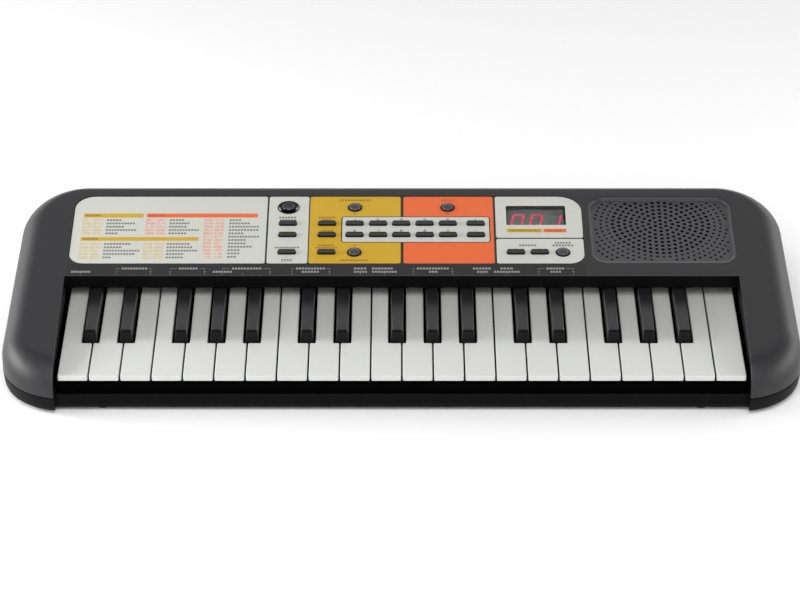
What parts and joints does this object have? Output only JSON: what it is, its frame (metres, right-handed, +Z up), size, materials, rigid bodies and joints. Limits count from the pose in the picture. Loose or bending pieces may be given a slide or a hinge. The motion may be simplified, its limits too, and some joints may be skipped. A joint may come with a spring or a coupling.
{
  "type": "toy electronic keyboard",
  "caption": "Slim table-top toy electronic keyboard with small piano keys, colour-blocked control panel, numeric display, push buttons and a recessed speaker grille.",
  "frame": {"origin": "on the table, under the middle of the case", "axes": "+X to the player's right, +Y away from the player, +Z up"},
  "size_m": [0.506, 0.2009, 0.054],
  "materials": {
    "body_plastic": "fine matte texture",
    "white_key_plastic": "smooth satin gloss",
    "black_key_plastic": "gloss",
    "panel_print": "printed satin film",
    "button_rubber": "satin",
    "window_plastic": "smoked gloss",
    "module_plastic": "satin",
    "foot_rubber": "matt",
    "frame_plastic": "matt",
    "circuit_board": "solder mask",
    "speaker_metal": "plated"
  },
  "bodies": {
    "case": {"top_case": "body_plastic", "bottom_case": "body_plastic", "foot_front_left": "foot_rubber", "foot_front_right": "foot_rubber", "foot_rear_left": "foot_rubber", "foot_rear_right": "foot_rubber", "key_frame": "frame_plastic", "key_contact_board": "circuit_board", "control_panel": "panel_print", "display_window": "window_plastic", "display_module": "module_plastic", "main_board": "circuit_board", "speaker": "speaker_metal"},
    "battery_cover": {"battery_cover": "body_plastic"},
    "white_key_c1": {"white_key_c1": "white_key_plastic"},
    "black_key_c_sharp1": {"black_key_c_sharp1": "black_key_plastic"},
    "white_key_d1": {"white_key_d1": "white_key_plastic"},
    "black_key_d_sharp1": {"black_key_d_sharp1": "black_key_plastic"},
    "white_key_e1": {"white_key_e1": "white_key_plastic"},
    "white_key_f1": {"white_key_f1": "white_key_plastic"},
    "black_key_f_sharp1": {"black_key_f_sharp1": "black_key_plastic"},
    "white_key_g1": {"white_key_g1": "white_key_plastic"},
    "black_key_g_sharp1": {"black_key_g_sharp1": "black_key_plastic"},
    "white_key_a1": {"white_key_a1": "white_key_plastic"},
    "black_key_a_sharp1": {"black_key_a_sharp1": "black_key_plastic"},
    "white_key_b1": {"white_key_b1": "white_key_plastic"},
    "white_key_c2": {"white_key_c2": "white_key_plastic"},
    "black_key_c_sharp2": {"black_key_c_sharp2": "black_key_plastic"},
    "white_key_d2": {"white_key_d2": "white_key_plastic"},
    "black_key_d_sharp2": {"black_key_d_sharp2": "black_key_plastic"},
    "white_key_e2": {"white_key_e2": "white_key_plastic"},
    "white_key_f2": {"white_key_f2": "white_key_plastic"},
    "black_key_f_sharp2": {"black_key_f_sharp2": "black_key_plastic"},
    "white_key_g2": {"white_key_g2": "white_key_plastic"},
    "black_key_g_sharp2": {"black_key_g_sharp2": "black_key_plastic"},
    "white_key_a2": {"white_key_a2": "white_key_plastic"},
    "black_key_a_sharp2": {"black_key_a_sharp2": "black_key_plastic"},
    "white_key_b2": {"white_key_b2": "white_key_plastic"},
    "white_key_c3": {"white_key_c3": "white_key_plastic"},
    "black_key_c_sharp3": {"black_key_c_sharp3": "black_key_plastic"},
    "white_key_d3": {"white_key_d3": "white_key_plastic"},
    "black_key_d_sharp3": {"black_key_d_sharp3": "black_key_plastic"},
    "white_key_e3": {"white_key_e3": "white_key_plastic"},
    "white_key_f3": {"white_key_f3": "white_key_plastic"},
    "black_key_f_sharp3": {"black_key_f_sharp3": "black_key_plastic"},
    "white_key_g3": {"white_key_g3": "white_key_plastic"},
    "black_key_g_sharp3": {"black_key_g_sharp3": "black_key_plastic"},
    "white_key_a3": {"white_key_a3": "white_key_plastic"},
    "black_key_a_sharp3": {"black_key_a_sharp3": "black_key_plastic"},
    "white_key_b3": {"white_key_b3": "white_key_plastic"},
    "white_key_c4": {"white_key_c4": "white_key_plastic"},
    "power_button": {"power_button": "button_rubber"},
    "volume_buttons": {"volume_buttons": "button_rubber"},
    "tempo_buttons": {"tempo_buttons": "button_rubber"},
    "style_button": {"style_button": "button_rubber"},
    "start_stop_button": {"start_stop_button": "button_rubber"},
    "voice_button": {"voice_button": "button_rubber"},
    "number_pad": {"number_pad": "button_rubber"},
    "octave_buttons": {"octave_buttons": "button_rubber"},
    "drum_kit_button": {"drum_kit_button": "button_rubber"}
  },
  "joints": [
    {"name": "battery_cover_slide", "type": "slide", "parent": "case", "child": "battery_cover", "axis": [0, 1, 0], "range_m": [0, 0.06]},
    {"name": "white_key_c1_press", "type": "hinge", "parent": "case", "child": "white_key_c1", "pos_m": [0, 0.0315, 0.0196], "axis": [1, 0, 0], "range_deg": [0, 2.8], "stiffness_Nm_per_rad": 0.6, "springref_deg": -5.73},
    {"name": "black_key_c_sharp1_press", "type": "hinge", "parent": "case", "child": "black_key_c_sharp1", "pos_m": [0, 0.0315, 0.0196], "axis": [1, 0, 0], "range_deg": [0, 2.8], "stiffness_Nm_per_rad": 0.6, "springref_deg": -5.73},
    {"name": "white_key_d1_press", "type": "hinge", "parent": "case", "child": "white_key_d1", "pos_m": [0, 0.0315, 0.0196], "axis": [1, 0, 0], "range_deg": [0, 2.8], "stiffness_Nm_per_rad": 0.6, "springref_deg": -5.73},
    {"name": "black_key_d_sharp1_press", "type": "hinge", "parent": "case", "child": "black_key_d_sharp1", "pos_m": [0, 0.0315, 0.0196], "axis": [1, 0, 0], "range_deg": [0, 2.8], "stiffness_Nm_per_rad": 0.6, "springref_deg": -5.73},
    {"name": "white_key_e1_press", "type": "hinge", "parent": "case", "child": "white_key_e1", "pos_m": [0, 0.0315, 0.0196], "axis": [1, 0, 0], "range_deg": [0, 2.8], "stiffness_Nm_per_rad": 0.6, "springref_deg": -5.73},
    {"name": "white_key_f1_press", "type": "hinge", "parent": "case", "child": "white_key_f1", "pos_m": [0, 0.0315, 0.0196], "axis": [1, 0, 0], "range_deg": [0, 2.8], "stiffness_Nm_per_rad": 0.6, "springref_deg": -5.73},
    {"name": "black_key_f_sharp1_press", "type": "hinge", "parent": "case", "child": "black_key_f_sharp1", "pos_m": [0, 0.0315, 0.0196], "axis": [1, 0, 0], "range_deg": [0, 2.8], "stiffness_Nm_per_rad": 0.6, "springref_deg": -5.73},
    {"name": "white_key_g1_press", "type": "hinge", "parent": "case", "child": "white_key_g1", "pos_m": [0, 0.0315, 0.0196], "axis": [1, 0, 0], "range_deg": [0, 2.8], "stiffness_Nm_per_rad": 0.6, "springref_deg": -5.73},
    {"name": "black_key_g_sharp1_press", "type": "hinge", "parent": "case", "child": "black_key_g_sharp1", "pos_m": [0, 0.0315, 0.0196], "axis": [1, 0, 0], "range_deg": [0, 2.8], "stiffness_Nm_per_rad": 0.6, "springref_deg": -5.73},
    {"name": "white_key_a1_press", "type": "hinge", "parent": "case", "child": "white_key_a1", "pos_m": [0, 0.0315, 0.0196], "axis": [1, 0, 0], "range_deg": [0, 2.8], "stiffness_Nm_per_rad": 0.6, "springref_deg": -5.73},
    {"name": "black_key_a_sharp1_press", "type": "hinge", "parent": "case", "child": "black_key_a_sharp1", "pos_m": [0, 0.0315, 0.0196], "axis": [1, 0, 0], "range_deg": [0, 2.8], "stiffness_Nm_per_rad": 0.6, "springref_deg": -5.73},
    {"name": "white_key_b1_press", "type": "hinge", "parent": "case", "child": "white_key_b1", "pos_m": [0, 0.0315, 0.0196], "axis": [1, 0, 0], "range_deg": [0, 2.8], "stiffness_Nm_per_rad": 0.6, "springref_deg": -5.73},
    {"name": "white_key_c2_press", "type": "hinge", "parent": "case", "child": "white_key_c2", "pos_m": [0, 0.0315, 0.0196], "axis": [1, 0, 0], "range_deg": [0, 2.8], "stiffness_Nm_per_rad": 0.6, "springref_deg": -5.73},
    {"name": "black_key_c_sharp2_press", "type": "hinge", "parent": "case", "child": "black_key_c_sharp2", "pos_m": [0, 0.0315, 0.0196], "axis": [1, 0, 0], "range_deg": [0, 2.8], "stiffness_Nm_per_rad": 0.6, "springref_deg": -5.73},
    {"name": "white_key_d2_press", "type": "hinge", "parent": "case", "child": "white_key_d2", "pos_m": [0, 0.0315, 0.0196], "axis": [1, 0, 0], "range_deg": [0, 2.8], "stiffness_Nm_per_rad": 0.6, "springref_deg": -5.73},
    {"name": "black_key_d_sharp2_press", "type": "hinge", "parent": "case", "child": "black_key_d_sharp2", "pos_m": [0, 0.0315, 0.0196], "axis": [1, 0, 0], "range_deg": [0, 2.8], "stiffness_Nm_per_rad": 0.6, "springref_deg": -5.73},
    {"name": "white_key_e2_press", "type": "hinge", "parent": "case", "child": "white_key_e2", "pos_m": [0, 0.0315, 0.0196], "axis": [1, 0, 0], "range_deg": [0, 2.8], "stiffness_Nm_per_rad": 0.6, "springref_deg": -5.73},
    {"name": "white_key_f2_press", "type": "hinge", "parent": "case", "child": "white_key_f2", "pos_m": [0, 0.0315, 0.0196], "axis": [1, 0, 0], "range_deg": [0, 2.8], "stiffness_Nm_per_rad": 0.6, "springref_deg": -5.73},
    {"name": "black_key_f_sharp2_press", "type": "hinge", "parent": "case", "child": "black_key_f_sharp2", "pos_m": [0, 0.0315, 0.0196], "axis": [1, 0, 0], "range_deg": [0, 2.8], "stiffness_Nm_per_rad": 0.6, "springref_deg": -5.73},
    {"name": "white_key_g2_press", "type": "hinge", "parent": "case", "child": "white_key_g2", "pos_m": [0, 0.0315, 0.0196], "axis": [1, 0, 0], "range_deg": [0, 2.8], "stiffness_Nm_per_rad": 0.6, "springref_deg": -5.73},
    {"name": "black_key_g_sharp2_press", "type": "hinge", "parent": "case", "child": "black_key_g_sharp2", "pos_m": [0, 0.0315, 0.0196], "axis": [1, 0, 0], "range_deg": [0, 2.8], "stiffness_Nm_per_rad": 0.6, "springref_deg": -5.73},
    {"name": "white_key_a2_press", "type": "hinge", "parent": "case", "child": "white_key_a2", "pos_m": [0, 0.0315, 0.0196], "axis": [1, 0, 0], "range_deg": [0, 2.8], "stiffness_Nm_per_rad": 0.6, "springref_deg": -5.73},
    {"name": "black_key_a_sharp2_press", "type": "hinge", "parent": "case", "child": "black_key_a_sharp2", "pos_m": [0, 0.0315, 0.0196], "axis": [1, 0, 0], "range_deg": [0, 2.8], "stiffness_Nm_per_rad": 0.6, "springref_deg": -5.73},
    {"name": "white_key_b2_press", "type": "hinge", "parent": "case", "child": "white_key_b2", "pos_m": [0, 0.0315, 0.0196], "axis": [1, 0, 0], "range_deg": [0, 2.8], "stiffness_Nm_per_rad": 0.6, "springref_deg": -5.73},
    {"name": "white_key_c3_press", "type": "hinge", "parent": "case", "child": "white_key_c3", "pos_m": [0, 0.0315, 0.0196], "axis": [1, 0, 0], "range_deg": [0, 2.8], "stiffness_Nm_per_rad": 0.6, "springref_deg": -5.73},
    {"name": "black_key_c_sharp3_press", "type": "hinge", "parent": "case", "child": "black_key_c_sharp3", "pos_m": [0, 0.0315, 0.0196], "axis": [1, 0, 0], "range_deg": [0, 2.8], "stiffness_Nm_per_rad": 0.6, "springref_deg": -5.73},
    {"name": "white_key_d3_press", "type": "hinge", "parent": "case", "child": "white_key_d3", "pos_m": [0, 0.0315, 0.0196], "axis": [1, 0, 0], "range_deg": [0, 2.8], "stiffness_Nm_per_rad": 0.6, "springref_deg": -5.73},
    {"name": "black_key_d_sharp3_press", "type": "hinge", "parent": "case", "child": "black_key_d_sharp3", "pos_m": [0, 0.0315, 0.0196], "axis": [1, 0, 0], "range_deg": [0, 2.8], "stiffness_Nm_per_rad": 0.6, "springref_deg": -5.73},
    {"name": "white_key_e3_press", "type": "hinge", "parent": "case", "child": "white_key_e3", "pos_m": [0, 0.0315, 0.0196], "axis": [1, 0, 0], "range_deg": [0, 2.8], "stiffness_Nm_per_rad": 0.6, "springref_deg": -5.73},
    {"name": "white_key_f3_press", "type": "hinge", "parent": "case", "child": "white_key_f3", "pos_m": [0, 0.0315, 0.0196], "axis": [1, 0, 0], "range_deg": [0, 2.8], "stiffness_Nm_per_rad": 0.6, "springref_deg": -5.73},
    {"name": "black_key_f_sharp3_press", "type": "hinge", "parent": "case", "child": "black_key_f_sharp3", "pos_m": [0, 0.0315, 0.0196], "axis": [1, 0, 0], "range_deg": [0, 2.8], "stiffness_Nm_per_rad": 0.6, "springref_deg": -5.73},
    {"name": "white_key_g3_press", "type": "hinge", "parent": "case", "child": "white_key_g3", "pos_m": [0, 0.0315, 0.0196], "axis": [1, 0, 0], "range_deg": [0, 2.8], "stiffness_Nm_per_rad": 0.6, "springref_deg": -5.73},
    {"name": "black_key_g_sharp3_press", "type": "hinge", "parent": "case", "child": "black_key_g_sharp3", "pos_m": [0, 0.0315, 0.0196], "axis": [1, 0, 0], "range_deg": [0, 2.8], "stiffness_Nm_per_rad": 0.6, "springref_deg": -5.73},
    {"name": "white_key_a3_press", "type": "hinge", "parent": "case", "child": "white_key_a3", "pos_m": [0, 0.0315, 0.0196], "axis": [1, 0, 0], "range_deg": [0, 2.8], "stiffness_Nm_per_rad": 0.6, "springref_deg": -5.73},
    {"name": "black_key_a_sharp3_press", "type": "hinge", "parent": "case", "child": "black_key_a_sharp3", "pos_m": [0, 0.0315, 0.0196], "axis": [1, 0, 0], "range_deg": [0, 2.8], "stiffness_Nm_per_rad": 0.6, "springref_deg": -5.73},
    {"name": "white_key_b3_press", "type": "hinge", "parent": "case", "child": "white_key_b3", "pos_m": [0, 0.0315, 0.0196], "axis": [1, 0, 0], "range_deg": [0, 2.8], "stiffness_Nm_per_rad": 0.6, "springref_deg": -5.73},
    {"name": "white_key_c4_press", "type": "hinge", "parent": "case", "child": "white_key_c4", "pos_m": [0, 0.0315, 0.0196], "axis": [1, 0, 0], "range_deg": [0, 2.8], "stiffness_Nm_per_rad": 0.6, "springref_deg": -5.73},
    {"name": "power_button_press", "type": "slide", "parent": "case", "child": "power_button", "axis": [0, 0.1097, -0.994], "range_m": [0, 0.001], "stiffness_N_per_m": 200, "springref_m": -0.003},
    {"name": "volume_buttons_press", "type": "slide", "parent": "case", "child": "volume_buttons", "axis": [0, 0.1097, -0.994], "range_m": [0, 0.001], "stiffness_N_per_m": 200, "springref_m": -0.003},
    {"name": "tempo_buttons_press", "type": "slide", "parent": "case", "child": "tempo_buttons", "axis": [0, 0.1097, -0.994], "range_m": [0, 0.001], "stiffness_N_per_m": 200, "springref_m": -0.003},
    {"name": "style_button_press", "type": "slide", "parent": "case", "child": "style_button", "axis": [0, 0.1097, -0.994], "range_m": [0, 0.001], "stiffness_N_per_m": 200, "springref_m": -0.003},
    {"name": "start_stop_button_press", "type": "slide", "parent": "case", "child": "start_stop_button", "axis": [0, 0.1097, -0.994], "range_m": [0, 0.001], "stiffness_N_per_m": 200, "springref_m": -0.003},
    {"name": "voice_button_press", "type": "slide", "parent": "case", "child": "voice_button", "axis": [0, 0.1097, -0.994], "range_m": [0, 0.001], "stiffness_N_per_m": 200, "springref_m": -0.003},
    {"name": "number_pad_press", "type": "slide", "parent": "case", "child": "number_pad", "axis": [0, 0.1097, -0.994], "range_m": [0, 0.001], "stiffness_N_per_m": 200, "springref_m": -0.003},
    {"name": "octave_buttons_press", "type": "slide", "parent": "case", "child": "octave_buttons", "axis": [0, 0.1097, -0.994], "range_m": [0, 0.001], "stiffness_N_per_m": 200, "springref_m": -0.003},
    {"name": "drum_kit_button_press", "type": "slide", "parent": "case", "child": "drum_kit_button", "axis": [0, 0.1097, -0.994], "range_m": [0, 0.001], "stiffness_N_per_m": 200, "springref_m": -0.003}
  ]
}
